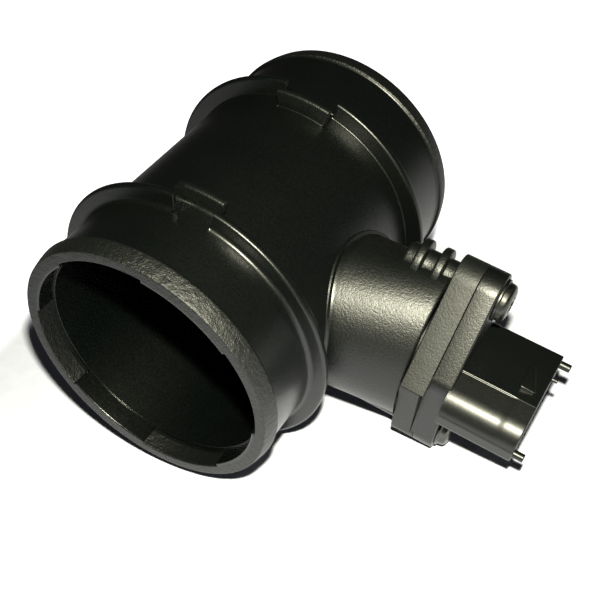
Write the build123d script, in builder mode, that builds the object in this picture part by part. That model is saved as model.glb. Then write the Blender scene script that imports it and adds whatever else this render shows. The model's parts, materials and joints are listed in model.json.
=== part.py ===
from build123d import *
import os
from math import asin, atan2, ceil, cos, degrees, hypot, radians, sin, sqrt, tan

# Hot-film mass airflow sensor: a moulded air tube with a bolted plug-in sensor module.
# The tube axis is +Y, from the open front mouth (origin) to the rear mouth.
# The unit lies on both stop ribs and on the lower corner of its module flange, +Z up.

# ---- air tube ----
tube_length = 96.0
bore_r = 30.2
tube_wall = 3.8            # of the middle stretch, between the ribs
land_height = 0.2          # the clamping lands at each end stand a little proud of it
bead_height = 0.8          # above the land
bead_width = 4.5
bead_ramp = 0.5            # axial length of the step from bead to land
rim_edge = 0.5             # edge break on the rims
front_land = 19.6          # front face to front stop rib
rear_land = 22.7           # rear stop rib to rear face
rib_width = 2.2
rib_height = 4.3           # above the land
rib_edge = 0.8             # rounding of a rib's crest
rib_root = 1.3             # fillet between land and rib
rib_root_depth = 0.6       # how far a rib is rooted into the wall

# the ribs step towards the middle across the mould insert on top
insert_middle = 89.6       # degrees from the stub, over the top
front_jog = 4.0
front_jog_span = 16.0
rear_jog = 4.4
rear_jog_span = 22.6
link_span = 3.6            # degrees, the short wall that joins the front rib's two stretches
link_bury = 0.8            # degrees of it inside the moved stretch
link_drop = 0.3            # its crest below the rib's

# counterbore of the front mouth, and the deeper arcs between its four pads
mouth_step = 0.4
mouth_depth = 5.5
arc_count = 4
arc_first = 179.0
arc_span = 46.5
arc_step = 0.8

# seat for the flow grid and its screen in the rear mouth
seat_ledge = 1.4
seat_depth = 12.0

# ---- stub and housing flange (stations count from the tube axis along the stub) ----
stub_y = 45.5
stub_root_r = 20.3
stub_root_station = 25.0
stub_top_long = 20.6       # half axes of the stub's oval top
stub_top_short = 14.3
flange_base = 53.4
flange_seam = 58.7         # face between housing flange and module flange
flange_top = 64.9
module_rise = 2.4          # module centre above the stub axis
ear_reach = 18.65          # screw centre from the module centre
ear_angle = 67.3           # line through both screws, from the tube axis
ear_r = 6.5
shoulder_x = -2.34         # rounded shoulders of the module flange, from its centre
shoulder_y = 8.45
shoulder_r = 5.0
corner_x = -5.84           # sharper, prouder corners of the housing flange
corner_y = 14.47
corner_r = 0.6
pad_height = 0.9           # the housing ears stand proud of the seam
pad_clearance = 0.15
flange_edge = 0.5

boss_r = 4.0
boss_start = 40.2
fin_r = 6.0
fin_width = 2.4
fin_stations = (44.2, 49.5)

# ---- module plug, seal and finger ----
plug_bore_r = 11.4
plug_clearance = 0.15
plug_end = 40.0
seal_station = 50.5
seal_squeeze_half = 0.9    # half the radial height of the seated ring
seal_half_width = 1.15
seal_clearance = 0.03
groove_half_width = 1.4
finger_width = 18.6        # along the flow
finger_thickness = 9.6
finger_edge = 1.2
finger_tip = -13.0
slot_gap = 0.4             # between the finger and its slot in the tube wall
plug_floor_gap = 0.3

floor_thickness = 1.6
pocket_start = 13.0
pocket_end = 38.6
pocket_width = 14.6
bond_ledge_start = 35.6
cover_thickness = 0.9
cover_lap = 0.8
cover_gap = 0.1
channel_cover_end = 10.8
channel_cover_width = 17.0

channel_width = 3.6
channel_floor = -2.8       # below the finger's mid plane
channel_inlet = 1.0        # station of the inlet passage's middle
channel_outlet = -8.0
channel_turn_y = -4.0

window_station = 7.75
window_length = 3.6
window_y = 5.0
window_width = 6.0

# ---- electronics ----
plate_thickness = 0.8
plate_length = 21.6
plate_width = 13.6
board_thickness = 0.7
board_length = 20.4
board_width = 12.6
board_station = 24.6
board_pad_inset = 0.5
chip_length = 5.0
chip_width = 4.6
chip_height = 1.1
chip_station = 27.5
capacitor_length = 2.0
capacitor_width = 1.25
capacitor_height = 1.0
capacitor_stations = (18.4, 21.2)
capacitor_y = 3.6
gel_top = 1.0
gel_end = 33.4
gel_gap = 0.1

carrier_thickness = 1.2
carrier_width = 3.2
carrier_start = -0.6
carrier_end = 15.0
carrier_floor = -1.0
carrier_gap = 0.1
element_length = 2.6
element_width = 2.2
element_thickness = 0.4
element_station = 1.2
element_recess = 0.3

bead_sensor_r = 0.9
bead_lead_r = 0.2
bead_lead_spacing = 1.0

# ---- connector ----
connector_end = 83.7
connector_width = 29.0     # along the tube
connector_height = 10.7
connector_offset = -2.5    # middle of the connector from the stub axis, along the tube
connector_rise = 2.1       # and above it
connector_ridge = -7.1     # from here the shell's top falls towards the front
connector_fall = 12.0      # degrees
connector_round = 6.5      # the upper front corner of the shell
connector_corner = 1.2     # its three other corners
shell_wall = 1.7
socket_floor = 70.0
strip_top = 1.0            # the front wall stands a little proud below this line
strip_height = 0.3
latch_station = 78.6       # steep side of the latch nose
latch_foot = 2.7           # run of its ramp towards the mouth
latch_front = -3.4
latch_back = 2.6
latch_r = 0.9
latch_toe_r = 0.65
latch_height = 1.1
latch_edge = 0.3
peg_length = 2.7           # pegs that stand out of the shell's end
peg_r = 1.05
peg_inset = 0.25
rear_peg_rise = 5.0
front_peg_rise = -0.7
key_length = 7.0           # the pegs run on as keys inside the socket
pin_r = 0.55               # small pin on the end of the upper wall
pin_length = 1.4
pin_y = 3.7
pin_rise = 6.6

terminal_count = 5
terminal_pitch = 4.0
terminal_width = 1.5
terminal_thickness = 0.64
terminal_tip = 79.4
terminal_tip_bevel = 0.35
bond_pitch = 3.0
bond_pad_width = 1.7
bond_pad_station = 37.2
jog_low = 52.4
jog_high = 62.0
bond_wire_r = 0.1
bond_wire_rise = 0.4

# ---- flange screws ----
screw_r = 2.25
screw_fit = 0.05
screw_tip = 44.0
screw_bore_end = 42.2
screw_clearance_r = 2.9
head_r = 5.0
head_height = 3.0
head_edge = 0.9
washer_r = 5.4
washer_height = 0.7
lobe_reach = 1.95
lobe_r = 0.55
socket_core_r = 1.75
socket_depth = 1.9
security_pin_r = 0.7

# ---- flow grid, screen and ring in the rear mouth ----
seat_gap = 0.1
grid_depth = 6.0
grid_rim = 1.6
grid_pitch = 7.4
grid_wall = 0.8
screen_thickness = 0.5
screen_rim = 1.8
screen_pitch = 5.2
screen_bar = 0.9
ring_height = 2.6
ring_wall = 1.9

# ---- derived places ----
barrel_r = bore_r + tube_wall
land_r = barrel_r + land_height
bead_r = land_r + bead_height
rib_r = land_r + rib_height
mouth_r = bore_r + mouth_step
arc_r = mouth_r + arc_step
seat_r = bore_r + seat_ledge

# The unit rolls until the flange ear's lowest point is level with the stop ribs.
ear_drop = ear_reach * sin(radians(ear_angle)) - module_rise + ear_r
corner_reach = hypot(flange_top, ear_drop)
lean = degrees(asin(rib_r / corner_reach) - atan2(ear_drop, flange_top))

stub_dir = Vector(cos(radians(lean)), 0, -sin(radians(lean)))
rise_dir = Vector(sin(radians(lean)), 0, cos(radians(lean)))
ear_dir = Vector(0, 1, 0) * cos(radians(ear_angle)) + rise_dir * sin(radians(ear_angle))
stub_origin = Vector(0, stub_y, 0)
module_origin = stub_origin + rise_dir * module_rise

plug_r = plug_bore_r - plug_clearance
floor_level = floor_thickness - finger_thickness / 2
cover_level = finger_thickness / 2 - cover_thickness
board_level = floor_level + plate_thickness
board_top = board_level + board_thickness
terminal_level = connector_rise - module_rise
ledge_level = terminal_level - terminal_thickness / 2
grid_y = tube_length - seat_depth
screen_y = grid_y + grid_depth
ring_y = screen_y + screen_thickness


def stub_plane(station):
    """Across the stub: x along the tube, y upwards, z along the stub."""
    return Plane(stub_origin + stub_dir * station, x_dir=(0, 1, 0), z_dir=stub_dir)


def module_plane(station):
    """Across the module: as stub_plane, on the module's own centre line."""
    return Plane(module_origin + stub_dir * station, x_dir=(0, 1, 0), z_dir=stub_dir)


def ear_plane(station):
    """Across the module, with x along the line through both screws."""
    return Plane(module_origin + stub_dir * station, x_dir=ear_dir, z_dir=stub_dir)


def tray_plane(level):
    """Along the module's mid plane: x is the station, y along the tube, z upwards."""
    return Plane(module_origin + rise_dir * level, x_dir=stub_dir, z_dir=rise_dir)


def radial_plane(angle):
    """Half plane through the tube axis, angle degrees over the top from the stub."""
    turn = radians(lean - angle)
    return Plane((0, 0, 0), x_dir=(cos(turn), 0, -sin(turn)), z_dir=(sin(turn), 0, cos(turn)))


def rib_sector(start_y, first, last, land_side):
    """One stretch of stop rib between two angles, filleted on its land side."""
    base = barrel_r - rib_root_depth
    near = start_y if land_side < 0 else start_y + rib_width
    far = start_y + rib_width if land_side < 0 else start_y
    foot = near + land_side * rib_root
    with BuildSketch(radial_plane(last)) as section:
        with BuildLine():
            Polyline((base, far), (rib_r, far), (rib_r, near), (land_r + rib_root, near))
            RadiusArc((land_r + rib_root, near), (land_r, foot), -land_side * rib_root)
            Polyline((land_r, foot), (base, foot), (base, far))
        make_face()
        fillet(section.vertices().group_by(Axis.X)[-1], rib_edge)
    revolve(section.sketch, axis=Axis.Y, revolution_arc=last - first)


def stop_rib(start_y, jog, jog_span, land_side):
    """A whole rib: the long arc, and the short arc moved towards the middle."""
    first = insert_middle - jog_span / 2
    last = insert_middle + jog_span / 2
    rib_sector(start_y, last, first + 360, land_side)
    rib_sector(start_y - land_side * jog, first, last, land_side)


def flange_outline(station, side_x, side_y, side_r):
    """Hull of the two ears and of two corners between them, as a sketch to extrude."""
    with BuildSketch(ear_plane(station)) as outline:
        with Locations((ear_reach, 0), (-ear_reach, 0)):
            Circle(ear_r)
        with Locations((side_x, side_y), (-side_x, -side_y)):
            Circle(side_r)
        make_hull()
    return outline.sketch


def ear_circles(station, radius):
    """A circle around each screw axis."""
    with BuildSketch(ear_plane(station)) as circles:
        with Locations((ear_reach, 0), (-ear_reach, 0)):
            Circle(radius)
    return circles.sketch


def ring_profile(inner, outer, start_y, end_y, plane=Plane.XY):
    """Rectangle in a radial half plane, to revolve about the tube axis."""
    with BuildSketch(plane) as section:
        with Locations(((inner + outer) / 2, (start_y + end_y) / 2)):
            Rectangle(outer - inner, end_y - start_y)
    return section.sketch


# ---------------------------------------------------------------- air tube
with BuildPart() as air_tube:
    with BuildSketch(Plane.XY):
        with BuildLine():
            Polyline(
                (bore_r, 0),
                (bead_r - rim_edge, 0),
                (bead_r, rim_edge),
                (bead_r, bead_width),
                (land_r, bead_width + bead_ramp),
                (land_r, front_land + rib_width / 2),
                (barrel_r, front_land + rib_width / 2),
                (barrel_r, tube_length - rear_land - rib_width / 2),
                (land_r, tube_length - rear_land - rib_width / 2),
                (land_r, tube_length - bead_width - bead_ramp),
                (bead_r, tube_length - bead_width),
                (bead_r, tube_length - rim_edge),
                (bead_r - rim_edge, tube_length),
                (bore_r, tube_length),
                close=True,
            )
        make_face()
    revolve(axis=Axis.Y)
    stop_rib(front_land, front_jog, front_jog_span, -1)
    stop_rib(tube_length - rear_land - rib_width, rear_jog, rear_jog_span, 1)
    link_plane = radial_plane(insert_middle + front_jog_span / 2 + link_span - link_bury)
    link_profile = ring_profile(barrel_r - rib_root_depth, rib_r - link_drop, front_land + rib_edge,
                                front_land + front_jog + rib_width - rib_edge, link_plane)
    revolve(link_profile, axis=Axis.Y, revolution_arc=link_span)

    # stub: round at the tube, oval under the flange
    with BuildSketch(Plane(stub_origin + stub_dir * stub_root_station, x_dir=ear_dir, z_dir=stub_dir)):
        Circle(stub_root_r)
    with BuildSketch(ear_plane(flange_base)):
        Ellipse(stub_top_long, stub_top_short)
    loft()

    # screw bosses, the upper one with its stiffening collars
    extrude(ear_circles(boss_start, boss_r), amount=flange_base - boss_start)
    for station in fin_stations:
        with BuildSketch(ear_plane(station - fin_width / 2)):
            with Locations((ear_reach, 0)):
                Circle(fin_r)
        extrude(amount=fin_width)

    # housing flange and its raised ear pads
    housing_outline = flange_outline(flange_base, corner_x, corner_y, corner_r)
    extrude(housing_outline, amount=flange_seam - flange_base)
    extrude(ear_circles(flange_seam, ear_r), amount=pad_height)

    # bore, rear seat and the arcs in the front mouth
    bore_profile = ring_profile(0, bore_r, 0, tube_length)
    revolve(bore_profile, axis=Axis.Y, mode=Mode.SUBTRACT)
    seat_profile = ring_profile(0, seat_r, grid_y, tube_length)
    revolve(seat_profile, axis=Axis.Y, mode=Mode.SUBTRACT)
    mouth_profile = ring_profile(0, mouth_r, 0, mouth_depth)
    revolve(mouth_profile, axis=Axis.Y, mode=Mode.SUBTRACT)
    for index in range(arc_count):
        arc_plane = radial_plane(arc_first + index * 360 / arc_count + arc_span)
        arc_profile = ring_profile(0, arc_r, 0, mouth_depth, arc_plane)
        revolve(arc_profile, axis=Axis.Y, revolution_arc=arc_span, mode=Mode.SUBTRACT)

    # slot for the module's finger, bore for its plug, and the screw holes
    with BuildSketch(module_plane(0)):
        RectangleRounded(finger_width + 2 * slot_gap, finger_thickness + 2 * slot_gap,
                         finger_edge + slot_gap)
    extrude(amount=plug_end, mode=Mode.SUBTRACT)
    with BuildSketch(module_plane(plug_end - plug_floor_gap)):
        Circle(plug_bore_r)
    extrude(amount=flange_top - plug_end + plug_floor_gap, mode=Mode.SUBTRACT)
    screw_holes = ear_circles(screw_bore_end, screw_r + screw_fit)
    extrude(screw_holes, amount=flange_top - screw_bore_end, mode=Mode.SUBTRACT)


# ---------------------------------------------------------------- terminals
def terminal_y(index):
    """Places of one terminal along the tube: in the connector and at the bond ledge."""
    step = index - (terminal_count - 1) / 2
    return connector_offset + step * terminal_pitch, step * bond_pitch


def terminal_blank(index, mode=Mode.ADD):
    """Stamped strip from the bond pad over a jog to the bevelled blade tip."""
    outer, inner = terminal_y(index)
    half = terminal_width / 2
    pad = bond_pad_width / 2
    shoulder = terminal_tip - 2 * terminal_tip_bevel
    tip = half - terminal_tip_bevel
    with BuildSketch(tray_plane(ledge_level)) as strip:
        with BuildLine():
            Polyline(
                (bond_ledge_start, inner - pad),
                (plug_end, inner - pad),
                (plug_end + pad, inner - half),
                (jog_low, inner - half),
                (jog_high, outer - half),
                (shoulder, outer - half),
                (terminal_tip, outer - tip),
                (terminal_tip, outer + tip),
                (shoulder, outer + half),
                (jog_high, outer + half),
                (jog_low, inner + half),
                (plug_end + pad, inner + half),
                (plug_end, inner + pad),
                (bond_ledge_start, inner + pad),
                close=True,
            )
        make_face()
    extrude(strip.sketch, amount=terminal_thickness, mode=mode)


def tray_box(start, end, y_low, y_high, bottom, top, mode):
    """Block between two stations, two places along the tube and two levels."""
    with BuildSketch(tray_plane(bottom)) as base:
        with Locations(((start + end) / 2, (y_low + y_high) / 2)):
            Rectangle(end - start, y_high - y_low)
    extrude(base.sketch, amount=top - bottom, mode=mode)


def shell_outline(station, inset):
    """Connector shell: its top falls to a large front corner, and the others are small."""
    front = connector_offset - connector_width / 2 + inset
    rear = connector_offset + connector_width / 2 - inset
    low = connector_rise - connector_height / 2 + inset
    high = connector_rise + connector_height / 2 - inset
    ridge = connector_ridge + inset * tan(radians(connector_fall / 2))
    brow = high - (ridge - front) * tan(radians(connector_fall))
    with BuildSketch(stub_plane(station)) as outline:
        with BuildLine():
            Polyline((front, low), (rear, low), (rear, high), (ridge, high), (front, brow), close=True)
        make_face()
        lower_front, upper_front = outline.vertices().group_by(Axis.X)[0].sort_by(Axis.Y)
        rear_corners = outline.vertices().group_by(Axis.X)[-1]
        fillet(upper_front, connector_round - inset)
        fillet([lower_front] + rear_corners, connector_corner)
    return outline.sketch


# ---------------------------------------------------------------- sensor body
with BuildPart() as sensor_body:
    module_outline = flange_outline(flange_seam, shoulder_x, shoulder_y, shoulder_r)
    extrude(module_outline, amount=flange_top - flange_seam)
    flange_rim = sensor_body.faces().sort_by(Axis(module_origin, stub_dir))[-1].outer_wire()
    fillet(flange_rim.edges(), flange_edge)
    pad_recess = ear_circles(flange_seam, ear_r + pad_clearance)
    extrude(pad_recess, amount=pad_height + pad_clearance, mode=Mode.SUBTRACT)

    # plug with the groove for the seal
    with BuildSketch(module_plane(plug_end)):
        Circle(plug_r)
    extrude(amount=flange_seam - plug_end)
    with BuildSketch(module_plane(seal_station - groove_half_width)):
        Circle(plug_bore_r)
        Circle(plug_bore_r - 2 * seal_squeeze_half, mode=Mode.SUBTRACT)
    extrude(amount=2 * groove_half_width, mode=Mode.SUBTRACT)

    # finger that stands in the air stream
    with BuildSketch(module_plane(finger_tip)):
        RectangleRounded(finger_width, finger_thickness, finger_edge)
    extrude(amount=plug_end - finger_tip)

    # electronics pocket, bond ledge and cover rebate
    half_pocket = pocket_width / 2
    tray_box(pocket_start, bond_ledge_start, -half_pocket, half_pocket,
             floor_level, finger_thickness / 2, Mode.SUBTRACT)
    tray_box(bond_ledge_start, pocket_end, -half_pocket, half_pocket,
             ledge_level, finger_thickness / 2, Mode.SUBTRACT)
    tray_box(pocket_start - cover_lap, pocket_end + cover_lap, -half_pocket - cover_lap,
             half_pocket + cover_lap, cover_level, finger_thickness / 2, Mode.SUBTRACT)

    # measuring channel: in at the rear edge, round a bend, out at the front edge
    half_channel = channel_width / 2
    tray_box(channel_inlet - half_channel, channel_inlet + half_channel,
             channel_turn_y - half_channel, finger_width,
             channel_floor, finger_thickness / 2, Mode.SUBTRACT)
    tray_box(channel_outlet - half_channel, channel_inlet + half_channel,
             channel_turn_y - half_channel, channel_turn_y + half_channel,
             channel_floor, finger_thickness / 2, Mode.SUBTRACT)
    tray_box(channel_outlet - half_channel, channel_outlet + half_channel,
             -finger_width, channel_turn_y + half_channel,
             channel_floor, finger_thickness / 2, Mode.SUBTRACT)
    tray_box(finger_tip + cover_lap, channel_cover_end,
             -channel_cover_width / 2, channel_cover_width / 2,
             cover_level, finger_thickness / 2, Mode.SUBTRACT)

    # slot for the chip carrier, and the window of the temperature bead
    half_slot = carrier_width / 2 + carrier_gap
    tray_box(channel_inlet, pocket_start + cover_lap,
             channel_turn_y - half_slot, channel_turn_y + half_slot,
             carrier_floor, cover_level, Mode.SUBTRACT)
    tray_box(window_station - window_length / 2, window_station + window_length / 2,
             window_y - window_width / 2, window_y + window_width / 2,
             -finger_thickness, finger_thickness, Mode.SUBTRACT)

    # connector shell with its socket, latch bump and keying pegs
    shell_root = flange_top - flange_edge
    extrude(shell_outline(shell_root, 0), amount=connector_end - shell_root)
    socket_profile = shell_outline(socket_floor, shell_wall)
    extrude(socket_profile, amount=connector_end - socket_floor, mode=Mode.SUBTRACT)
    latch_low = terminal_level + connector_height / 2
    with BuildSketch(tray_plane(latch_low)):
        with Locations((latch_station, latch_front), (latch_station, latch_back)):
            Circle(latch_r)
        with Locations((latch_station + latch_foot, latch_front)):
            Circle(latch_toe_r)
        make_hull()
    latch = extrude(amount=latch_height)
    chamfer(latch.faces().sort_by(Axis(module_origin, rise_dir))[-1].edges(), latch_edge)
    rear_edge = connector_offset + connector_width / 2
    front_edge = connector_offset - connector_width / 2
    tray_box(shell_root, connector_end, front_edge - strip_height, front_edge + shell_wall / 2,
             terminal_level - connector_height / 2 + connector_corner, strip_top - module_rise, Mode.ADD)
    with BuildSketch(stub_plane(connector_end - key_length)):
        with Locations((rear_edge - peg_r - peg_inset, rear_peg_rise),
                       (front_edge + peg_r + peg_inset, front_peg_rise)):
            Circle(peg_r)
    extrude(amount=key_length + peg_length)
    with BuildSketch(stub_plane(connector_end)):
        with Locations((pin_y, pin_rise)):
            Circle(pin_r)
    extrude(amount=pin_length)

    # passages of the terminals and the screw clearance holes
    for index in range(terminal_count):
        terminal_blank(index, Mode.SUBTRACT)
    screw_holes = ear_circles(flange_seam, screw_clearance_r)
    extrude(screw_holes, amount=flange_top - flange_seam, mode=Mode.SUBTRACT)

# ---------------------------------------------------------------- seal ring
with BuildPart() as seal_ring:
    with BuildSketch(Plane(module_origin + stub_dir * seal_station, x_dir=(0, 1, 0), z_dir=-rise_dir)):
        with Locations((plug_bore_r - seal_squeeze_half, 0)):
            Ellipse(seal_squeeze_half - seal_clearance, seal_half_width)
    revolve(axis=Axis(module_origin, stub_dir))


def flange_screw(side):
    """Security screw with a washer face, six-lobe socket and centre pin."""
    reach = side * ear_reach
    stages = [
        (screw_tip, flange_top, screw_r),
        (flange_top, flange_top + washer_height, washer_r),
        (flange_top + washer_height, flange_top + head_height, head_r),
    ]
    for start, end, radius in stages:
        with BuildSketch(ear_plane(start)) as disc:
            with Locations((reach, 0)):
                Circle(radius)
        turned = extrude(disc.sketch, amount=end - start)
    top_face = turned.faces().sort_by(Axis(module_origin, stub_dir))[-1]
    fillet(top_face.edges(), head_edge)
    with BuildSketch(ear_plane(flange_top + head_height)) as socket:
        with Locations((reach, 0)):
            Circle(socket_core_r)
            with PolarLocations(lobe_reach, 6):
                Circle(lobe_r)
            Circle(security_pin_r, mode=Mode.SUBTRACT)
    extrude(socket.sketch, amount=-socket_depth, mode=Mode.SUBTRACT)


# ---------------------------------------------------------------- flange screws
with BuildPart() as upper_screw:
    flange_screw(1)

with BuildPart() as lower_screw:
    flange_screw(-1)

# ---------------------------------------------------------------- terminals
terminals = []
for index in range(terminal_count):
    with BuildPart() as terminal:
        terminal_blank(index)
    terminals.append(terminal)

# ---------------------------------------------------------------- electronics
with BuildPart() as base_plate:
    tray_box(board_station - plate_length / 2, board_station + plate_length / 2,
             -plate_width / 2, plate_width / 2, floor_level, board_level, Mode.ADD)

with BuildPart() as hybrid_board:
    tray_box(board_station - board_length / 2, board_station + board_length / 2,
             -board_width / 2, board_width / 2, board_level, board_top, Mode.ADD)

with BuildPart() as evaluation_chip:
    tray_box(chip_station - chip_length / 2, chip_station + chip_length / 2,
             -chip_width / 2, chip_width / 2, board_top, board_top + chip_height, Mode.ADD)

capacitors = []
for station in capacitor_stations:
    with BuildPart() as capacitor:
        tray_box(station - capacitor_width / 2, station + capacitor_width / 2,
                 capacitor_y - capacitor_length / 2, capacitor_y + capacitor_length / 2,
                 board_top, board_top + capacitor_height, Mode.ADD)
    capacitors.append(capacitor)

with BuildPart() as chip_carrier:
    carrier_top = carrier_floor + carrier_thickness
    tray_box(carrier_start, carrier_end, channel_turn_y - carrier_width / 2,
             channel_turn_y + carrier_width / 2, carrier_floor, carrier_top, Mode.ADD)
    tray_box(element_station - element_length / 2, element_station + element_length / 2,
             channel_turn_y - element_width / 2, channel_turn_y + element_width / 2,
             carrier_top - element_recess, carrier_top, Mode.SUBTRACT)

with BuildPart() as sensor_chip:
    element_level = carrier_floor + carrier_thickness - element_recess
    tray_box(element_station - element_length / 2, element_station + element_length / 2,
             channel_turn_y - element_width / 2, channel_turn_y + element_width / 2,
             element_level, element_level + element_thickness, Mode.ADD)

with BuildPart() as temperature_bead:
    bead_start = window_y - window_width / 2
    lead_plane = Plane(
        module_origin + stub_dir * window_station + Vector(0, bead_start, 0),
        x_dir=stub_dir, z_dir=(0, 1, 0))
    with BuildSketch(lead_plane):
        with Locations((-bead_lead_spacing / 2, 0), (bead_lead_spacing / 2, 0)):
            Circle(bead_lead_r)
    extrude(amount=window_width / 2)
    with Locations(lead_plane.offset(window_width / 2).location):
        Sphere(bead_sensor_r)

with BuildPart() as bond_wires:
    for index in range(terminal_count):
        inner = terminal_y(index)[1]
        arc_plane = Plane(module_origin + Vector(0, inner, 0), x_dir=stub_dir, z_dir=(0, -1, 0))
        wire_start = (board_station + board_length / 2 - board_pad_inset, board_top + bond_wire_r)
        wire_end = (bond_pad_station, ledge_level + terminal_thickness + bond_wire_r)
        wire_top = ((wire_start[0] + wire_end[0]) / 2, wire_end[1] + bond_wire_rise)
        with BuildLine(arc_plane) as wire_line:
            ThreePointArc(wire_start, wire_top, wire_end)
        with BuildSketch(Plane(wire_line.line @ 0, z_dir=wire_line.line % 0)):
            Circle(bond_wire_r)
        sweep(path=wire_line.line)

with BuildPart() as gel_fill:
    tray_box(pocket_start + gel_gap, gel_end, gel_gap - half_pocket, half_pocket - gel_gap,
             board_top, gel_top, Mode.ADD)
    for piece in [evaluation_chip, chip_carrier] + capacitors:
        add(piece.part, mode=Mode.SUBTRACT)

with BuildPart() as electronics_cover:
    tray_box(pocket_start - cover_lap + cover_gap, pocket_end + cover_lap - cover_gap,
             cover_gap - half_pocket - cover_lap, half_pocket + cover_lap - cover_gap,
             cover_level, finger_thickness / 2, Mode.ADD)

with BuildPart() as channel_cover:
    tray_box(finger_tip + cover_lap + cover_gap, channel_cover_end - cover_gap,
             cover_gap - channel_cover_width / 2, channel_cover_width / 2 - cover_gap,
             cover_level, finger_thickness / 2, Mode.ADD)
    tray_box(window_station - window_length / 2, window_station + window_length / 2,
             window_y - window_width / 2, window_y + window_width / 2,
             cover_level, finger_thickness / 2, Mode.SUBTRACT)


def bar_places(pitch, reach):
    """Places of evenly spaced bars that lie inside a circle of radius reach."""
    count = ceil(reach / pitch)
    places = [(index + 0.5) * pitch for index in range(-count, count)]
    return [place for place in places if abs(place) < reach]


def bar_lattice(disc_r, rim, pitch, bar, start_y, depth):
    """Round rim filled with crossed bars."""
    mouth_plane = Plane((0, start_y, 0), x_dir=(1, 0, 0), z_dir=(0, 1, 0))
    with BuildSketch(mouth_plane) as lattice:
        Circle(disc_r)
        Circle(disc_r - rim, mode=Mode.SUBTRACT)
        for place in bar_places(pitch, disc_r - rim):
            chord = 2 * sqrt(disc_r ** 2 - place ** 2) - rim
            with Locations((0, place)):
                Rectangle(chord, bar)
            with Locations((place, 0)):
                Rectangle(bar, chord)
    extrude(lattice.sketch, amount=depth)


# ---------------------------------------------------------------- rear mouth pieces
with BuildPart() as flow_grid:
    bar_lattice(seat_r - seat_gap, grid_rim, grid_pitch, grid_wall, grid_y, grid_depth)

with BuildPart() as wire_screen:
    bar_lattice(seat_r - seat_gap, screen_rim, screen_pitch, screen_bar, screen_y, screen_thickness)

with BuildPart() as screen_ring:
    revolve(ring_profile(seat_r - ring_wall, seat_r, ring_y, ring_y + ring_height), axis=Axis.Y)

# ---------------------------------------------------------------- files
pieces = {
    "air_tube": air_tube,
    "sensor_body": sensor_body,
    "seal_ring": seal_ring,
    "upper_screw": upper_screw,
    "lower_screw": lower_screw,
    "base_plate": base_plate,
    "hybrid_board": hybrid_board,
    "evaluation_chip": evaluation_chip,
    "chip_carrier": chip_carrier,
    "sensor_chip": sensor_chip,
    "temperature_bead": temperature_bead,
    "bond_wires": bond_wires,
    "gel_fill": gel_fill,
    "electronics_cover": electronics_cover,
    "channel_cover": channel_cover,
    "flow_grid": flow_grid,
    "wire_screen": wire_screen,
    "screen_ring": screen_ring,
}
for index, terminal in enumerate(terminals):
    pieces[f"terminal_{index + 1}"] = terminal
for index, capacitor in enumerate(capacitors):
    pieces[f"filter_capacitor_{index + 1}"] = capacitor

os.makedirs("parts", exist_ok=True)
for name, piece in pieces.items():
    piece.part.label = name
    export_step(piece.part, f"parts/{name}.step")
print(f"lean {lean:.2f} degrees, {len(pieces)} pieces")
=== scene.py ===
import json
import bpy
import numpy as np
from mathutils import Matrix
from math import atan2, asin, cos, hypot, pi, radians, sin, tan


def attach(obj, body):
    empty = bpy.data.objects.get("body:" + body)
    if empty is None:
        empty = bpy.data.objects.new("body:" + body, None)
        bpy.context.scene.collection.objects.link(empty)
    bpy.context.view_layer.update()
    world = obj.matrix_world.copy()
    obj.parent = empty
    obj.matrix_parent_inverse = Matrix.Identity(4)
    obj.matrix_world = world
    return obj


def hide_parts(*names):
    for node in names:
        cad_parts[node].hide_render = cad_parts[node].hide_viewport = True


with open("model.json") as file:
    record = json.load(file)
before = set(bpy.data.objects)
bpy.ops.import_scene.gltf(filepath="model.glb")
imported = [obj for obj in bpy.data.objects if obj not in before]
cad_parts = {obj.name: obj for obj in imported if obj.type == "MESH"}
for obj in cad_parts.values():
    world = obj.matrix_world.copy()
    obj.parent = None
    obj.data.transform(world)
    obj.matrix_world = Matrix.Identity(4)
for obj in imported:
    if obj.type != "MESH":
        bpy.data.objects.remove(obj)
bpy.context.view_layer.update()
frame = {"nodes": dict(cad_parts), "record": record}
mm = 0.001
print("stage: frame loaded")

# places and directions, all from the frame and the sensor's own sizes in mm
tube = {"length": 96.0, "bore": 30.2, "barrel": 34.0, "land": 34.2, "bead": 35.0, "rim": 34.15,
        "beadWidth": 4.5, "beadRamp": 0.5, "seat": 31.6, "seatDepth": 12.0, "columns": 720,
        "mouth": 30.6, "mouthDepth": 5.5, "arcFirst": 179.0, "arcSpan": 46.5, "arcRadius": 31.4}
ribs = {"front": 19.6, "rear": 71.1, "width": 2.2, "radius": 38.5, "root": 1.3, "crestEdge": 0.85,
        "draft": 0.12, "middle": 89.6, "frontJog": 4.0, "frontSpan": 16.0, "rearJog": -4.4,
        "rearSpan": 22.6, "sink": 0.4, "link": 2.8, "linkEdge": 0.5}
stub = {"along": 45.5, "rise": 2.4, "rootRadius": 20.3, "rootStation": 25.0, "topLong": 20.6,
        "topShort": 14.3, "columns": 240, "topFlare": 0.7, "rootFlare": 0.8}
flange = {"base": 53.4, "seam": 58.7, "top": 64.9, "reach": 18.65, "angle": 67.3, "ear": 6.5,
          "shoulderX": -2.34, "shoulderY": 8.45, "shoulder": 5.0, "cornerX": -5.84, "cornerY": 14.47,
          "corner": 0.6, "pad": 0.9, "gap": 0.14, "edge": 0.5, "points": 720}


def unit(v):
    v = np.asarray(v, float)
    return v / np.linalg.norm(v)


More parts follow.
